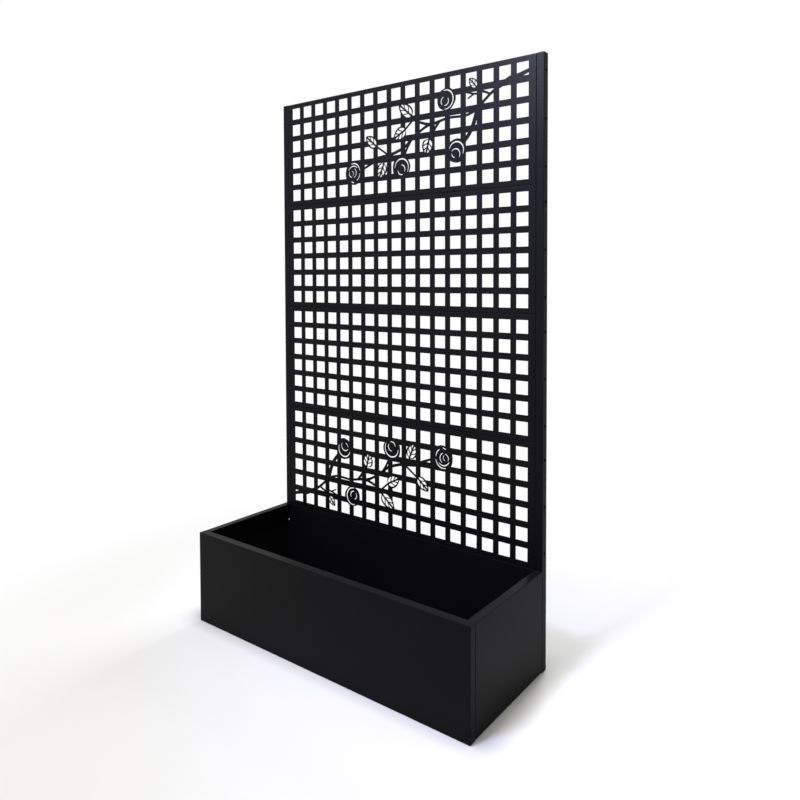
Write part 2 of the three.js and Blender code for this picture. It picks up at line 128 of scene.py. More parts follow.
def blank(name, across, up, middle, facing):
    """A flat rectangle, in edit mode, that faces along the normal of its turned plane."""
    bpy.ops.object.select_all(action="DESELECT")
    bpy.ops.mesh.primitive_plane_add(size=1, location=middle, rotation=facing)
    piece = bpy.context.object
    piece.name = piece.data.name = name
    piece.scale = (across, up, 1)
    bpy.ops.object.transform_apply(location=True, rotation=True, scale=True)
    bpy.ops.object.mode_set(mode="EDIT")
    return piece


def round_folds(radius=fold):
    """In edit mode, rounds the sharp folds of a surface that has no thickness yet."""
    bpy.ops.mesh.select_mode(type="EDGE")
    bpy.ops.mesh.select_all(action="DESELECT")
    bpy.ops.mesh.edges_select_sharp(sharpness=radians(60))
    bpy.ops.mesh.bevel(offset=radius, segments=5, affect="EDGES")


def cut_away(piece, test, point, normal):
    """Cuts the faces that pass the test along a plane, and takes away its far side."""
    pick(piece, test, "FACE")
    bpy.ops.mesh.bisect(plane_co=point, plane_no=normal, clear_outer=True)


def apply(piece, kind, **settings):
    """Gives the piece a modifier with these settings, and applies it."""
    modifier = piece.modifiers.new(kind.lower(), kind)
    for name, value in settings.items():
        setattr(modifier, name, value)
    bpy.context.view_layer.objects.active = piece
    bpy.ops.object.modifier_apply(modifier=modifier.name)


def thicken(piece):
    """Leaves edit mode and gives the folded surface its thickness, inwards."""
    bpy.ops.object.mode_set(mode="OBJECT")
    apply(piece, "SOLIDIFY", thickness=sheet, offset=-1, use_even_offset=True,
          use_quality_normals=True)


def drill(piece, places, axis, diameter, depth=0.01, sides=24):
    """Cuts round holes through the piece. The axis is 0, 1 or 2 for x, y or z."""
    turn = [(0, pi / 2, 0), (pi / 2, 0, 0), (0, 0, 0)][axis]
    bits = []
    for place in places:
        bpy.ops.mesh.primitive_cylinder_add(vertices=sides, radius=diameter / 2, depth=depth,
                                            location=place, rotation=turn)
        bits.append(bpy.context.object)
    bpy.ops.object.select_all(action="DESELECT")
    for bit in bits:
        bit.select_set(True)
    bpy.ops.object.join()
    bits = bpy.context.object
    apply(piece, "BOOLEAN", operation="DIFFERENCE", object=bits, solver="EXACT")
    bpy.data.objects.remove(bits)


def finish_edges(piece, width=edge):
    """Rounds the cut edges, and keeps broad faces flat in the shading."""
    if width:
        apply(piece, "BEVEL", width=width, segments=2, limit_method="ANGLE",
              angle_limit=radians(50), use_clamp_overlap=True)
    bpy.ops.object.select_all(action="DESELECT")
    piece.select_set(True)
    bpy.context.view_layer.objects.active = piece
    bpy.ops.object.shade_smooth_by_angle(angle=radians(40))
    apply(piece, "WEIGHTED_NORMAL", keep_sharp=True, weight=100)


class Shade:
    """A socket in a material's node tree. Arithmetic on it adds Math nodes."""

    def __init__(self, tree, socket=None):
        self.tree = tree
        self.socket = socket

    def node(self, kind, settings=None, inputs=None, output=0):
        made = self.tree.nodes.new("ShaderNode" + kind)
        for name, value in (settings or {}).items():
            setattr(made, name, value)
        for name, value in (inputs or {}).items():
            if isinstance(value, Shade):
                self.tree.links.new(value.socket, made.inputs[name])
            else:
                made.inputs[name].default_value = value
        return Shade(self.tree, made.outputs[output])

    def math(self, operation, first, second):
        return self.node("Math", {"operation": operation}, {0: first, 1: second})

    def __add__(self, other):
        return self.math("ADD", self, other)

    def __mul__(self, other):
        return self.math("MULTIPLY", self, other)

    __radd__ = __add__

    def mixed(self, first, second):
        """One colour where this value is 0, and the other where it is 1."""
        return self.node("Mix", {"data_type": "RGBA"}, {0: self, 6: first, 7: second}, 2)


def material(name):
    """A new material: its principled shader, and a start for its nodes."""
    made = bpy.data.materials.new(name)
    made.use_nodes = True
    return made, made.node_tree.nodes["Principled BSDF"], Shade(made.node_tree)


def feed(shader, **inputs):
    """Sets or links sockets of the principled shader, named with _ for a space."""
    for name, value in inputs.items():
        socket = shader.inputs[name.replace("_", " ")]
        if isinstance(value, Shade):
            value.tree.links.new(value.socket, socket)
        else:
            socket.default_value = value


def noise(start, place, scale, detail=2.0):
    return start.node("TexNoise", None,
                      {"Vector": place, "Scale": scale, "Detail": detail, "Roughness": 0.55})


def powder_coat():
    """Satin near-black powder, with the fine skin it has when it flows out in the oven.

    Its colour and gloss are set below those of a real coat, to match the dark tones of
    the picture.
    """
    made, shader, start = material("powder_coat")
    place = start.node("TexCoord", output="Object")
    skin = noise(start, place, 900)            # about a millimetre
    flow = noise(start, place, 170)            # about 6 mm
    cloud = noise(start, place, 5)
    height = skin * 0.7 + flow * 0.6
    bump = start.node("Bump", None, {"Strength": 0.35, "Distance": 0.0002, "Height": height})
    feed(shader, Base_Color=cloud.mixed((0.0042, 0.0042, 0.0046, 1), (0.0058, 0.0058, 0.0064, 1)),
         Roughness=0.3 + skin * 0.08 + cloud * 0.06, Specular_IOR_Level=0.038,
         Normal=bump)
    return made


coated = powder_coat()


def fit(piece, finish, slot, *nodes):
    """The piece stands for the nodes and moves with the body."""
    piece.data.materials.clear()
    piece.data.materials.append(finish)
    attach(piece, "root")
    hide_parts(*nodes)


facing_front = (pi / 2, 0, 0)
low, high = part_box("planter_front")
front, half_width, box_top = low.y, high.x, high.z
core_x, core_low, core_top = half_width - relief, low.z + relief, box_top - relief
front_panel = blank("front_panel", 2 * core_x, core_top - core_low,
                    (0, front, (core_low + core_top) / 2), facing_front)
for hand in (-1, 1):
    pull(front_panel, lambda v: near(v.x, hand * core_x) and near(v.y, front),
         (hand * relief, 0, 0), (0, corner_return, 0), (-hand * corner_lip, 0, 0))
pull(front_panel, lambda v: near(v.z, core_top) and near(v.y, front) and abs(v.x) < half_width - hair,
     (0, 0, relief), (0, rim, 0))
pull(front_panel, lambda v: near(v.z, core_low) and near(v.y, front) and abs(v.x) < half_width - hair,
     (0, 0, -relief), (0, floor_flange, 0))
round_folds()
for hand in (-1, 1):
    cut_away(front_panel, lambda v: near(v.z, box_top),
             (hand * (half_width - mitre_gap), front, box_top), (hand, 1, 0))
thicken(front_panel)

# ---- Sides of the box
# A folded sheet each. The upright edges are turned in as flanges that are screwed
# to the front panel and to the post, and the top edge is a rim that runs on over
# the front panel's return to the mitre.
side_flange = 0.024
side_front = front + corner_return + seat
screw_hole = 0.0046
long_drill = 0.03                # reaches a flange from the middle of its screw


def middle_of(node):
    low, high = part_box(node)
    return (low + high) / 2


for name, hand in (("left", -1), ("right", 1)):
    low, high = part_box(f"planter_side_{name}")
    face = hand * half_width
    core_front, core_back, core_low = side_front + relief, high.y - relief, low.z + relief
    side_panel = blank(f"side_panel_{name}", core_back - core_front, core_top - core_low,
                       (face, (core_front + core_back) / 2, (core_low + core_top) / 2),
                       (pi / 2, 0, hand * pi / 2))

    def on_core(v, height):
        return near(v.x, face) and near(v.z, height) and core_front - hair < v.y < core_back + hair

    pull(side_panel, lambda v: near(v.y, core_front), (0, -relief, 0), (-hand * side_flange, 0, 0))
    pull(side_panel, lambda v: near(v.y, core_back), (0, relief, 0), (-hand * side_flange, 0, 0))
    pull(side_panel, lambda v: on_core(v, core_top), (0, 0, relief), (-hand * rim, 0, 0))
    pull(side_panel, lambda v: on_core(v, core_low), (0, 0, -relief), (-hand * floor_flange, 0, 0))
    round_folds()
    pull(side_panel, lambda v: near(v.z, box_top) and near(v.y, core_front),
         (0, front - core_front, 0))
    pull(side_panel, lambda v: near(v.z, box_top) and near(v.x, hand * (half_width - fold))
         and v.y < core_front + hair, (hand * (fold - mitre_gap), 0, 0))
    pull(side_panel, lambda v: near(v.z, box_top) and near(v.y, core_back), (0, relief, 0))
    cut_away(side_panel, lambda v: near(v.z, box_top),
             (hand * (half_width + mitre_gap), front, box_top), (-hand, -1, 0))
    thicken(side_panel)
    holes = [middle_of(f"{end}_corner_screw_{name}_{k}") for end in ("front", "rear") for k in (1, 2)]
    drill(side_panel, holes, 1, screw_hole)
    drill(front_panel, holes[:2], 1, screw_hole)
    finish_edges(side_panel)
    fit(side_panel, coated, "powder_coat", f"planter_side_{name}")
finish_edges(front_panel)
fit(front_panel, coated, "powder_coat", "planter_front")

# ---- Back of the box
# A plain sheet below the trellis, screwed between the posts. Its top and its ends
# are turned back like a trellis panel's, and its foot forward, under the floor.
panel_flange = 0.022
low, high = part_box("planter_back")
wall = high.y - panel_flange               # front face of back and trellis panels
foot = low.z + sheet
back_panel = blank("back_panel", 2 * high.x, high.z - foot, (0, wall, (foot + high.z) / 2), facing_front)
pick_whole(back_panel, lambda side: not all(near(v.co.z, foot) for v in side.verts))
bpy.ops.mesh.extrude_region_move(TRANSFORM_OT_translate={"value": (0, panel_flange, 0)})
round_folds()
foot_x = high.x - side_flange
for hand in (-1, 1):
    bpy.ops.mesh.select_all(action="SELECT")
    bpy.ops.mesh.bisect(plane_co=(hand * foot_x, 0, 0), plane_no=(1, 0, 0))
pull(back_panel, lambda v: near(v.z, foot) and abs(v.x) < foot_x + hair, (0, -floor_flange, 0))
pick(back_panel, lambda v: near(v.z, foot) and near(v.y, wall) and abs(v.x) < foot_x + hair)
bpy.ops.mesh.bevel(offset=fold - sheet, segments=4, affect="EDGES")
thicken(back_panel)
drill(back_panel, [middle_of(f"back_screw_{name}_{k}") for name in ("left", "right") for k in (1, 2)],
      0, screw_hole, long_drill)
finish_edges(back_panel)
fit(back_panel, coated, "powder_coat", "planter_back")

# ---- Floor of the box
# A sheet with six drain holes that lies loose on the flanges of the sides and back.
# It is notched round the corner flanges, and its front edge is turned down.
drain = 0.015
drain_columns, drain_rows = 3, 2
low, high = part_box("planter_floor")
floor_top = high.z
narrow = half_width - corner_lip - seat
wing_front, wing_back = side_front + sheet + seat, high.y - seat - sheet
core_front = low.y + relief
floor_panel = blank("floor_panel", 2 * narrow, high.y - core_front,
                    (0, (core_front + high.y) / 2, floor_top), (0, 0, 0))
for place in (wing_front, wing_back):
    bpy.ops.mesh.select_all(action="SELECT")
    bpy.ops.mesh.bisect(plane_co=(0, place, 0), plane_no=(0, 1, 0))
for hand in (-1, 1):
    pull(floor_panel, lambda v: near(v.x, hand * narrow) and wing_front - hair < v.y < wing_back + hair,
         (hand * (high.x - narrow), 0, 0))
pull(floor_panel, lambda v: near(v.y, core_front), (0, -relief, 0), (0, 0, low.z - floor_top))
round_folds()
thicken(floor_panel)
width, depth = 2 * half_width, cad_high.y - cad_low.y
drains = [(((i + 0.5) / drain_columns - 0.5) * width, ((j + 0.5) / drain_rows - 0.5) * depth, floor_top)
          for i in range(drain_columns) for j in range(drain_rows)]
drill(floor_panel, drains, 2, drain, sides=32)
finish_edges(floor_panel)
fit(floor_panel, coated, "powder_coat", "planter_floor")

# ---- Posts
# Two lengths of 25 mm square tube with rounded corners. The panels are screwed on
# from inside the tube, through a wide hole for head and driver in its outer wall.
tube_wall = 0.0012
tube_corner = 0.0018
driver_hole = 0.009
trellis_count = 4
post_lengths = 12                # the mesh's lengths, that each take a few holes
for name, hand in (("left", -1), ("right", 1)):
    low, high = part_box(f"post_{name}")
    bpy.ops.object.select_all(action="DESELECT")
    bpy.ops.mesh.primitive_cube_add(size=1, location=(low + high) / 2)
    post = bpy.context.object
    post.name = post.data.name = f"tube_{name}"
    post.scale = high - low
    bpy.ops.object.transform_apply(location=True, rotation=True, scale=True)
    bpy.ops.object.mode_set(mode="EDIT")
    for end in (low.z, high.z):
        pick(post, lambda v: near(v.z, end), "FACE")
        bpy.ops.mesh.delete(type="ONLY_FACE")
    round_folds(tube_corner)
    for i in range(1, post_lengths):
        bpy.ops.mesh.select_all(action="SELECT")
        bpy.ops.mesh.bisect(plane_co=(0, 0, i * high.z / post_lengths), plane_no=(0, 0, 1))
    bpy.ops.object.mode_set(mode="OBJECT")
    apply(post, "SOLIDIFY", thickness=tube_wall, offset=-1, use_even_offset=True)
    screws = [middle_of(f"trellis_{i}_screw_{name}_{k}")
              for i in range(1, trellis_count + 1) for k in (1, 2, 3)]
    drill(post, [Vector((hand * half_width, s.y, s.z)) for s in screws], 0, driver_hole, sides=28)
    screws += [middle_of(f"back_screw_{name}_{k}") for k in (1, 2)]
    inner_wall = hand * (half_width - (high.x - low.x))
    drill(post, [Vector((inner_wall, s.y, s.z)) for s in screws], 0, screw_hole)
    screws = [middle_of(f"rear_corner_screw_{name}_{k}") for k in (1, 2)]
    drill(post, [Vector((s.x, low.y, s.z)) for s in screws], 1, screw_hole)
    finish_edges(post)
    fit(post, coated, "powder_coat", f"post_{name}")

# ---- Plain trellis panels
# Four trays of the same sheet are stacked between the posts, with their edges turned
# back and the corners closed. The two in the middle are a plain grid of punched holes.
columns, rows = 17, 6
cell = 0.060
hole = 0.040
hole_corner = 0.0008
grid_x, grid_z = columns * cell / 2, rows * cell / 2      # half the size of the grid


def punched_grid(middle):
    """The grid's part of a panel's face, in edit mode, with its holes."""
    bpy.ops.mesh.primitive_grid_add(x_subdivisions=columns, y_subdivisions=rows, size=1,
                                    location=middle, rotation=facing_front)
    piece = bpy.context.object
    piece.scale = (2 * grid_x, 2 * grid_z, 1)
    bpy.ops.object.transform_apply(location=True, rotation=True, scale=True)
    bpy.ops.object.mode_set(mode="EDIT")
    bpy.ops.mesh.select_all(action="SELECT")
    bpy.ops.mesh.inset(thickness=(cell - hole) / 2, use_individual=True)
    bpy.ops.mesh.delete(type="FACE")
    bpy.ops.mesh.select_mode(type="VERT")
    bpy.ops.mesh.select_all(action="DESELECT")
    mesh = bmesh.from_edit_mesh(piece.data)
    for v in mesh.verts:
        inside = abs(v.co.x) < grid_x - hair and abs(v.co.z - middle.z) < grid_z - hair
        v.select_set(inside and len(v.link_faces) == 2)
    bmesh.update_edit_mesh(piece.data)
    bpy.ops.mesh.bevel(offset=hole_corner, segments=2, affect="VERTICES")
    return piece


def tray(piece, name, node):
    """Adds the border and the turned edges to a grid, and drills the edges."""
    piece.name = piece.data.name = name
    low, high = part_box(node)
    middle = (low.z + high.z) / 2
    for hand in (-1, 1):
        pull(piece, lambda v: near(v.x, hand * grid_x), (hand * (high.x - grid_x), 0, 0))
        pull(piece, lambda v: near(v.z, middle + hand * grid_z),
             (0, 0, hand * ((high.z - low.z) / 2 - grid_z)))

    def outer(side):
        a, b = (v.co for v in side.verts)
        upright = near(abs(a.x), high.x) and near(a.x, b.x)
        level = near(a.z, b.z) and (near(a.z, low.z) or near(a.z, high.z))
        return side.is_boundary and (upright or level)

    pick_whole(piece, outer)
    bpy.ops.mesh.extrude_region_move(TRANSFORM_OT_translate={"value": (0, panel_flange, 0)})
    round_folds()
    thicken(piece)
    drill(piece, [middle_of(f"{node.replace('_panel', '')}_screw_{side}_{k}")
                  for side in ("left", "right") for k in (1, 2, 3)], 0, screw_hole, long_drill)


for level in (2, 3):
    node = f"trellis_panel_{level}"
    grid_panel = punched_grid(Vector((0, wall, middle_of(node).z)))
    tray(grid_panel, f"grid_panel_{level}", node)
    finish_edges(grid_panel)
    fit(grid_panel, coated, "powder_coat", node)

# ---- Rose panels
# The top panel has a rose vine left standing across its holes, cut from the sheet. The
# lowest panel is the same one given half a turn. The vine is laid out on the grid:
# its points are cells to the right of and above the middle of the top right hole.
mm = 0.001
branches = {                                 # with the width in millimetres
    "trunk": [(0.5, -0.07, 10), (-0.25, -0.29, 15), (-0.75, -0.38, 18), (-1.63, -0.78, 10),
              (-2.28, -1.25, 9), (-2.62, -1.6, 13), (-2.87, -2.29, 14), (-3.15, -2.78, 13),
              (-3.58, -3.24, 11)],
    "runner": [(-2.6, -1.56, 9), (-3.35, -1.79, 8), (-4.42, -1.77, 8), (-5.33, -1.93, 9.5),
               (-5.75, -1.98, 10), (-6.3, -2.23, 8.5), (-6.97, -2.66, 10), (-7.4, -2.97, 10),
               (-8.32, -3.26, 10.5), (-9.33, -3.39, 12), (-9.77, -3.62, 9), (-10.75, -4, 7)],
    "trunk_twig": [(-2.43, -0.68, 7.5), (-2.12, -0.79, 7.5), (-1.83, -0.94, 7.5)],
    "upper_twig": [(-2.42, -0.81, 7), (-2.87, -0.76, 6), (-3.28, -0.64, 5)],
    "upper_fork": [(-2.8, -0.76, 6), (-3.23, -0.96, 4.5)],
    "runner_fork": [(-5.6, -1.94, 8), (-5.97, -1.88, 9), (-6.37, -1.74, 8)],
    "runner_spur": [(-4.97, -1.84, 8), (-5.22, -2.09, 9), (-5.42, -2.39, 7)],
    "lower_spur": [(-6.9, -2.61, 8.5), (-7.17, -2.99, 7.5), (-7.37, -3.36, 7)],
}
leaves = [                                   # base, tip, width in mm, end of the stalk
    ((-6.89, -1.33), (-7.78, -0.61), 44, (-6.73, -1.46)),
    ((-7.33, -2.02), (-8.16, -2.44), 44, (-6.83, -1.59)),
    ((-9.46, -2.69), (-10.21, -2.08), 39, (-8.6, -3.25)),
    ((-5.71, -2.73), (-5.93, -3.53), 46, (-5.67, -2.55)),
    ((-8.89, -3.73), (-9.27, -4.54), 44, (-8.84, -3.5)),
    ((-2.68, -0.44), (-3.13, 0.06), 28, (-2.58, -0.56)),
]
# A rose is a disc with curved slits between its petals. A slit is the middle of its
# curve, first and last radius, first and last angle in degrees, and its width.
roses = [
    ((-4.57, -0.78), 35.5, [(-4, 0, 29, 31, 104, -95, 4.4), (-5, -5, 14.5, 15.5, 113, 222, 3.6),
                            (-6, -5, 14.5, 14.5, 35, -100, 3.6)]),
    ((-3.93, -3.52), 37.5, [(0, 0, 28.5, 27, 163, -24, 4.4), (-4, -11, 17.5, 17.5, 142, -33, 3.6),
                            (-4, -8, 14, 12.5, 175, 262, 3)]),
    ((-7.62, -4.04), 37, [(0, -1, 28, 30, 177, -32, 4.2), (0, -8, 16.5, 15, 90, -28, 3.6),
                          (0, -8, 14.8, 16.5, 183, 292, 3.4)]),
    ((-11.17, -4.07), 39.5, [(-3, 3, 32, 31.5, 108, 8, 3.8), (0, 0, 27, 28, -2, -63, 3.4),
                             (0, 0, 29.5, 32, -114, -90, 3.4), (0, 0, 28, 24, 156, 50, 3.4),
                             (-7, 1, 18.5, 17, 58, -68, 3.2), (-7, 1, 16, 14, 150, 262, 3),
                             (-12, 0, 9.5, 10.5, 75, -50, 2.6)]),
]
leaf_rim, leaf_midrib, leaf_vein, leaf_stalk = 5.5 * mm, 6.2 * mm, 4.2 * mm, 6.5 * mm
full_leaf = 40 * mm                          # a narrower leaf has thinner lines
leaf_cells = 3                               # openings along each half of a leaf
vein_slant = 0.2                             # how far a side vein runs on towards the tip
leaf_foot = 0.05                             # solid part at the base
leaf_round, leaf_point = 0.45, 0.75          # shape of the base and of the tip
leaf_steps = 20
petals, petal_wave, rose_steps = 5, 0.02, 60
slit_end = 0.55                              # width of a slit's ends, of its middle
slit_turn = 30                               # degrees from knot to knot of a slit
ribbon_step = 5 * mm                         # from point to point of a ribbon
rim_steps = 4                                # of an opening, along the leaf's rim
same_point = 1e-6                            # nearer points are one, where outlines cross
sliver = 0.02 * mm                           # nearer points are joined afterwards
flat_within = radians(0.5)


def on_grid(right, up):
    """Metres to the right of and above the middle of the panel."""
    return Vector((grid_x + (right - 0.5) * cell, grid_z + (up - 0.5) * cell))


def ribbon(knots):
    """The outline of a ribbon on a smooth curve. A knot is x, y and the width there."""
    knots = [Vector(knot) for knot in knots]
    points = []
    for i in range(len(knots) - 1):
        before, start, end, after = (knots[max(0, min(k, len(knots) - 1))] for k in range(i - 1, i + 3))
        pieces = max(2, round((end - start).xy.length / ribbon_step))
        points += interpolate_bezier(start, start + (end - before) / 6, end - (after - start) / 6,
                                     end, pieces + 1)[:-1]
    points.append(knots[-1])
    left, right = [], []
    for i, point in enumerate(points):
        along = (points[min(i + 1, len(points) - 1)] - points[max(i - 1, 0)]).xy.normalized()
        out = Vector((-along.y, along.x)) * point.z / 2
        left.append(point.xy + out)
        right.append(point.xy - out)
    return left + right[::-1]


def leaf_half(along, width):
    """Half the width of a leaf: round at the base and pointed at the tip."""
    widest = leaf_round / (leaf_round + leaf_point)

    def bulge(s):
        return s ** leaf_round * (1 - s) ** leaf_point
    return width / 2 * bulge(along) / bulge(widest)


def leaf_outlines(base, tip, width):
    """The whole leaf, and the openings between its rim, midrib and side veins."""
    foot, axis = on_grid(*base), on_grid(*tip) - on_grid(*base)
    across = Vector((-axis.y, axis.x)).normalized()

    def place(along, out):
        return foot + axis * along + across * out

    steps = [(1 - cos(pi * i / leaf_steps)) / 2 for i in range(1, leaf_steps)]
    whole = ([place(0, 0)] + [place(s, -leaf_half(s, width)) for s in steps] + [place(1, 0)]
             + [place(s, leaf_half(s, width)) for s in reversed(steps)])
    openings = []
    line = min(1, width / full_leaf)
    rim_line, half_midrib = leaf_rim * line, leaf_midrib / 2 * line
    vein = leaf_vein / 2 * line / axis.length
    solid_tip = max(s for s in steps if leaf_half(s, width) > rim_line + half_midrib)
    step = (1 - vein_slant) / leaf_cells
    for side in (-1, 1):
        for i in range(leaf_cells):
            start, end = i * step + (vein if i else leaf_foot), (i + 1) * step - vein
            rim_start, rim_end = (start + vein_slant if i else start), min(end + vein_slant, solid_tip)
            along_rim = [rim_end + (rim_start - rim_end) * k / rim_steps for k in range(rim_steps + 1)]
            outline = [place(s, side * (leaf_half(s, width) - rim_line)) for s in along_rim]
            midrib_end = end if i < leaf_cells - 1 else rim_end
            outline += [place(start, side * half_midrib), place(midrib_end, side * half_midrib)]
            openings.append(outline)
    return whole, openings


def slit(centre, right, up, first, last, start, end, width):
    """The outline of a slit between petals, from its line in the list of roses."""
    steps = max(3, round(abs(end - start) / slit_turn))
    knots = []
    for k in range(steps + 1):
        share = k / steps
        angle, reach = radians(start + (end - start) * share), first + (last - first) * share
        x, y = centre + Vector((right + reach * cos(angle), up + reach * sin(angle))) * mm
        knots.append((x, y, width * mm * (slit_end + (1 - slit_end) * sin(pi * share))))
    return ribbon(knots)


vine, openings = [], []
for branch in branches.values():
    vine.append(ribbon([(*on_grid(right, up), width * mm) for right, up, width in branch]))
for base, tip, width, stalk_end in leaves:
    in_leaf = [start + (end - start) * leaf_foot for start, end in zip(base, tip)]
    vine.append(ribbon([(*on_grid(*in_leaf), leaf_stalk), (*on_grid(*stalk_end), leaf_stalk)]))
    whole, cells = leaf_outlines(base, tip, width * mm)
    vine.append(whole)
    openings += cells
for middle, radius, slits in roses:
    centre = on_grid(*middle)
    angles = [2 * pi * i / rose_steps for i in range(rose_steps)]
    vine.append([centre + Vector((cos(a), sin(a))) * radius * mm * (1 + petal_wave * cos(petals * a))
                 for a in angles])
    openings += [slit(centre, *numbers) for numbers in slits]


def rectangle(x, y, half_x, half_y):
    return [Vector((x + i * half_x, y + j * half_y)) for i, j in ((-1, -1), (1, -1), (1, 1), (-1, 1))]


def rose_grid(middle, hand):
    """The grid's part of a rose panel's face, in edit mode. Hand is -1 if it is turned.

    Its outlines cross each other, so the sheet is divided along all of them at once,
    and each face is kept or left out by the outlines that it lies in.
    """
    holes = [rectangle((i - (columns - 1) / 2) * cell, (j - (rows - 1) / 2) * cell, hole / 2, hole / 2)
             for i in range(columns) for j in range(rows)]
    outlines = [rectangle(0, 0, grid_x, grid_z)] + holes + vine + openings
    first_vine, first_opening = 1 + len(holes), 1 + len(holes) + len(vine)
    points, loops = [], []
    for outline in outlines:
        turned = sum(a.cross(b) for a, b in zip(outline, outline[1:] + outline[:1]))
        if turned < 0:                       # the shape of an outline is on its left
            outline = outline[::-1]
        loops.append(list(range(len(points), len(points) + len(outline))))
        points += outline
    inside_only = 1
    points, _, faces, _, _, within = delaunay_2d_cdt(points, [], loops, inside_only, same_point)
    metal = []
    for face, inside in zip(faces, within):
        in_hole = any(1 <= k < first_vine for k in inside)
        in_vine = any(first_vine <= k < first_opening for k in inside)
        in_opening = any(k >= first_opening for k in inside)
        if 0 in inside and (in_vine or not in_hole) and not in_opening:
            metal.append(face)
    mesh = bpy.data.meshes.new("rose_grid")
    mesh.from_pydata([(hand * p.x, middle.y, middle.z + hand * p.y) for p in points], [], metal)
    piece = bpy.data.objects.new("rose_grid", mesh)
    bpy.context.collection.objects.link(piece)
    bpy.ops.object.select_all(action="DESELECT")
    piece.select_set(True)
    bpy.context.view_layer.objects.active = piece
    bpy.ops.object.mode_set(mode="EDIT")
    bpy.ops.mesh.select_all(action="SELECT")
    bpy.ops.mesh.remove_doubles(threshold=sliver)
    bpy.ops.mesh.dissolve_limited(angle_limit=flat_within, delimit=set())
    return piece


for level, hand in ((trellis_count, 1), (1, -1)):
    node = f"trellis_panel_{level}"
    rose_panel = rose_grid(Vector((0, wall, middle_of(node).z)), hand)
    mesh = bmesh.from_edit_mesh(rose_panel.data)
    for face in mesh.faces:                  # all look to the front
        if face.normal.y > 0:
            face.normal_flip()
    loose = [v for v in mesh.verts if not v.link_faces]
    bmesh.ops.delete(mesh, geom=loose, context="VERTS")
    bmesh.update_edit_mesh(rose_panel.data)
    tray(rose_panel, f"rose_panel_{level}", node)
    finish_edges(rose_panel, 0)
    fit(rose_panel, coated, "powder_coat", node)

# ---- Tube plugs
# Moulded plastic plugs close both ends of each post. A plate with eased edges covers
# the tube, and a stem with three fins grips it inside.
plug_plate = 0.003
stem_inset = 0.0035
fin_reach = 0.0019
fin_count, fin_pitch, fin_thick = 3, 0.0036, 0.0008


def moulded_plastic():
    """Matt black plastic with the fine grain of a spark-eroded mould."""
    made, shader, start = material("plug_plastic")
    place = start.node("TexCoord", output="Object")
    grain = noise(start, place, 2600, 3)
    bump = start.node("Bump", None, {"Strength": 0.3, "Distance": 0.0001, "Height": grain})
    tone = noise(start, place, 60)
    feed(shader, Base_Color=tone.mixed((0.007, 0.007, 0.0075, 1), (0.011, 0.011, 0.0115, 1)),
         Roughness=0.5 + grain * 0.16, Specular_IOR_Level=0.12, Normal=bump)
    return made


plastic = moulded_plastic()
for name in ("left", "right"):
    for end, up in (("foot", 1), ("top", -1)):
        low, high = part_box(f"{end}_plug_{name}")
        outside = low.z if up == 1 else high.z
        bpy.ops.object.select_all(action="DESELECT")
        bpy.ops.mesh.primitive_cube_add(size=1, location=((low.x + high.x) / 2, (low.y + high.y) / 2,
                                                          outside + up * plug_plate / 2))
        plug = bpy.context.object
        plug.name = plug.data.name = f"{end}_cap_{name}"
        plug.scale = (high.x - low.x, high.y - low.y, plug_plate)
        bpy.ops.object.transform_apply(location=True, rotation=True, scale=True)
        bpy.ops.object.mode_set(mode="EDIT")
        pick(plug, lambda v: near(v.z, outside + up * plug_plate), "FACE")
        bpy.ops.mesh.inset(thickness=stem_inset)
        bpy.ops.mesh.extrude_region_move(TRANSFORM_OT_translate={"value": (0, 0, up * fin_pitch / 2)})
        stem = high.x - low.x - 2 * stem_inset
        grow = 1 + 2 * fin_reach / stem
        for fin in range(fin_count):
            bpy.ops.mesh.extrude_region_move(TRANSFORM_OT_translate={"value": (0, 0, 0)})
            bpy.ops.transform.resize(value=(grow, grow, 1))
            bpy.ops.mesh.extrude_region_move(TRANSFORM_OT_translate={"value": (0, 0, up * fin_thick)})
            bpy.ops.mesh.extrude_region_move(TRANSFORM_OT_translate={"value": (0, 0, 0)})
            bpy.ops.transform.resize(value=(1 / grow, 1 / grow, 1))
            bpy.ops.mesh.extrude_region_move(
                TRANSFORM_OT_translate={"value": (0, 0, up * (fin_pitch - fin_thick))})

        def plate_corner(side):
            a, b = (v.co for v in side.verts)
            upright = near(a.x, b.x) and near(a.y, b.y) and abs(a.z - b.z) > plug_plate / 2
            return upright and max(abs(a.z - outside), abs(b.z - outside)) < plug_plate + hair

        pick_whole(plug, plate_corner)
        bpy.ops.mesh.bevel(offset=tube_corner, segments=5, affect="EDGES")
        bpy.ops.object.mode_set(mode="OBJECT")
        finish_edges(plug)
        fit(plug, plastic, "plug_plastic", f"{end}_plug_{name}")

# ---- Screws
# M4 button-head screws of zinc-plated steel, with a hexagon socket. One is turned on
# its axis from a profile, and all the others are copies of it.
shank, screw_length = 0.002, 0.010
head, head_height = 0.004, 0.0024
thread_pitch, thread_depth = 0.0007, 0.00032
socket_across, socket_depth = 0.0025, 0.0013
flat_top, dome_rise = 0.55, 0.85         # of the head's radius, and of its height
root_start, crest_start = 0.35, 0.85     # of a thread's pitch
dome_steps = 5
turn_steps = 24


def zinc_plate():
    """Bright zinc, a little clouded, with fine turning marks in its gloss."""
    made, shader, start = material("screw_steel")
    place = start.node("TexCoord", output="Object")
    cloud, marks = noise(start, place, 240), noise(start, place, 1500, 3)
    bump = start.node("Bump", None, {"Strength": 0.2, "Distance": 0.00005, "Height": marks})
    feed(shader, Base_Color=cloud.mixed((0.42, 0.43, 0.45, 1), (0.58, 0.58, 0.57, 1)), Metallic=1.0,
         Roughness=0.26 + marks * 0.18, Normal=bump)
    return made


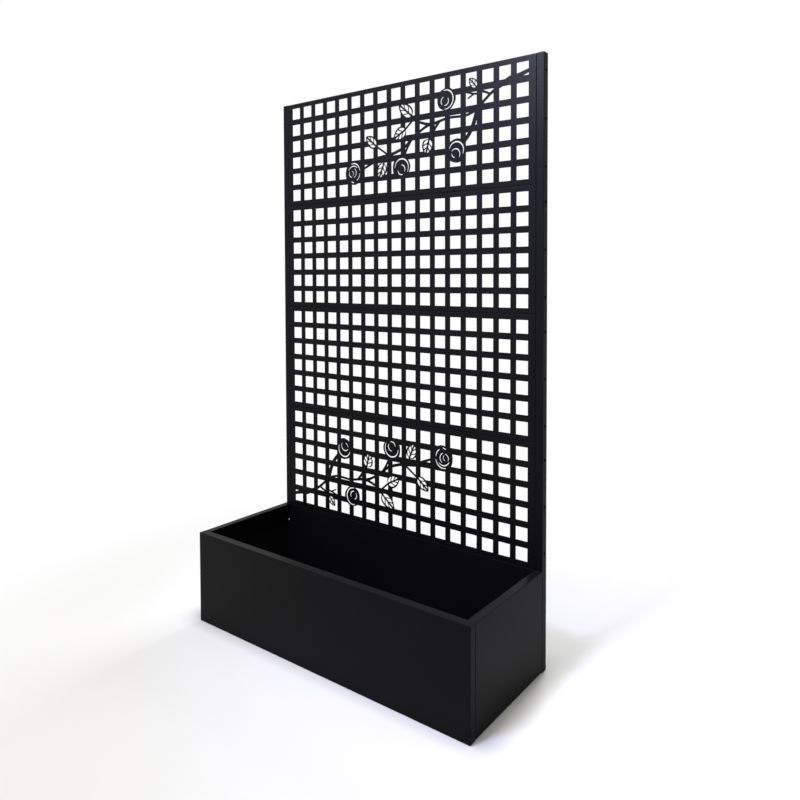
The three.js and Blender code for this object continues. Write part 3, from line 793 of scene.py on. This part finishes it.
zinc = zinc_plate()
flat = flat_top * head
profile = [(0, -head_height)]
for k in range(dome_steps + 1):
    angle = pi / 2 * k / dome_steps
    profile.append((flat + (head - flat) * sin(angle),
                    -head_height + dome_rise * head_height * (1 - cos(angle))))
profile += [(head, 0), (shank, 0)]
turns = int(screw_length / thread_pitch) - 1
for k in range(turns):
    turn_start = screw_length - (turns - k) * thread_pitch - thread_pitch / 2
    profile += [(shank - thread_depth, turn_start + thread_pitch * root_start),
                (shank, turn_start + thread_pitch * crest_start)]
profile += [(shank - thread_depth, screw_length), (0, screw_length)]
bpy.ops.object.select_all(action="DESELECT")
bpy.ops.mesh.primitive_plane_add(size=head, location=(profile[0][0], 0, profile[0][1]))
screw = bpy.context.object
screw.name = screw.data.name = "screw"
bpy.ops.object.transform_apply(location=True, rotation=True, scale=True)
bpy.ops.object.mode_set(mode="EDIT")
bpy.ops.mesh.select_mode(type="VERT")
bpy.ops.mesh.select_all(action="SELECT")
bpy.ops.mesh.merge(type="CENTER")        # one point, drawn out along the profile
for (x, z), (next_x, next_z) in zip(profile, profile[1:]):
    bpy.ops.mesh.extrude_vertices_move(TRANSFORM_OT_translate={"value": (next_x - x, 0, next_z - z)})
bpy.ops.mesh.select_all(action="SELECT")
bpy.ops.mesh.spin(steps=turn_steps, angle=2 * pi, center=(0, 0, 0), axis=(0, 0, 1))
bpy.ops.mesh.select_all(action="SELECT")
bpy.ops.mesh.remove_doubles(threshold=same_point)
bpy.ops.mesh.normals_make_consistent(inside=False)
bpy.ops.object.mode_set(mode="OBJECT")
drill(screw, [(0, 0, -head_height)], 2, socket_across / cos(pi / 6), 2 * socket_depth, sides=6)
finish_edges(screw, 0)

for name, hand in (("left", -1), ("right", 1)):
    runs = [(f"trellis_{i}_screw_{name}_{k}", (-hand, 0, 0))
            for i in range(1, trellis_count + 1) for k in (1, 2, 3)]
    for k in (1, 2):
        runs += [(f"back_screw_{name}_{k}", (hand, 0, 0)),
                 (f"front_corner_screw_{name}_{k}", (0, -1, 0)),
                 (f"rear_corner_screw_{name}_{k}", (0, 1, 0))]
    for node, way in runs:
        way = Vector(way)
        copied = screw.copy()
        copied.data = screw.data.copy()
        copied.name = copied.data.name = node.replace("screw", "button_screw")
        bpy.context.collection.objects.link(copied)
        copied.location = middle_of(node) + way * ((screw_length + head_height) / 2 - screw_length)
        copied.rotation_euler = way.to_track_quat("Z", "Y").to_euler()
        bpy.ops.object.select_all(action="DESELECT")
        copied.select_set(True)
        bpy.context.view_layer.objects.active = copied
        bpy.ops.object.transform_apply(location=True, rotation=True, scale=True)
        fit(copied, zinc, "screw_steel", node)
bpy.data.objects.remove(screw)

# ---- Ground and light
# A pale plain floor takes the planter's soft shadow and fades to the white of the
# surroundings. A cool lamp with a hood points at the trellis's top corner, a broad
# one hangs over the box, and weak ones stand on the right and behind.
lamps = {                                    # place, aim, size, hood's angle, power and colour
    "key": ((-0.1, -1.5, 2.6), (0.4, 0.2, 1.6), 0.6, 90, 32, (0.64, 0.67, 1)),
    "top": ((0, -0.25, 3.2), (0, -0.05, 0), 1.0, 180, 70, (1, 0.98, 0.94)),
    "side": ((3.2, 0.8, 2.2), (0.4, 0, 0.5), 2.2, 180, 10, (1, 0.9, 0.78)),
    "back": ((-0.2, 2.8, 2.6), (0.1, 0.2, 1.0), 1.2, 80, 16, (0.95, 0.97, 1)),
}
floor_size = 60
floor_white = 0.65, 1.6                      # from here the floor fades, and there it is white


def seen_white(start):
    """1 for the camera, and for what shows in gloss or through something clear."""
    camera = start.node("LightPath", output="Is Camera Ray")
    glossy = start.node("LightPath", output="Is Glossy Ray")
    clear = start.node("LightPath", output="Is Transmission Ray")
    return camera.math("MAXIMUM", camera.math("MAXIMUM", camera, glossy), clear)


def pale_floor():
    """A matt pale floor whose far part looks white to the camera."""
    made, shader, start = material("pale_floor")
    place = start.node("TexCoord", output="Object")
    distance = start.node("VectorMath", {"operation": "LENGTH"}, {0: place}, "Value")
    near_floor, far_floor = floor_white
    fade = start.node("MapRange", {"interpolation_type": "SMOOTHSTEP"},
                      {"Value": distance, "From Min": near_floor, "From Max": far_floor})
    feed(shader, Base_Color=(0.8, 0.8, 0.8, 1), Roughness=0.9)
    glow = start.node("Emission", None, {"Color": (1, 1, 1, 1), "Strength": 1.0})
    both = start.node("MixShader", None, {0: fade * seen_white(start), 2: glow})
    links = made.node_tree.links
    links.new(shader.outputs[0], both.socket.node.inputs[1])
    links.new(both.socket, made.node_tree.nodes["Material Output"].inputs["Surface"])
    return made


bpy.ops.object.select_all(action="DESELECT")
bpy.ops.mesh.primitive_plane_add(size=floor_size)
ground = bpy.context.object
ground.name = ground.data.name = "ground"
ground.data.materials.append(pale_floor())

world = bpy.data.worlds.new("studio")
bpy.context.scene.world = world
world.use_nodes = True
start = Shade(world.node_tree)
background = world.node_tree.nodes["Background"]
tone = seen_white(start).mixed((0.4, 0.4, 0.385, 1), (1, 1, 1, 1))
world.node_tree.links.new(tone.socket, background.inputs["Color"])

for name, (place, aim, size, hood, power, colour) in lamps.items():
    bpy.ops.object.light_add(type="AREA", location=place)
    lamp = bpy.context.object
    lamp.name = f"{name}_lamp"
    lamp.data.size = size
    lamp.data.spread = radians(hood)
    lamp.data.energy = power
    lamp.data.color = colour
    lamp.visible_camera = False
    lamp.rotation_euler = (Vector(place) - Vector(aim)).to_track_quat("Z", "Y").to_euler()
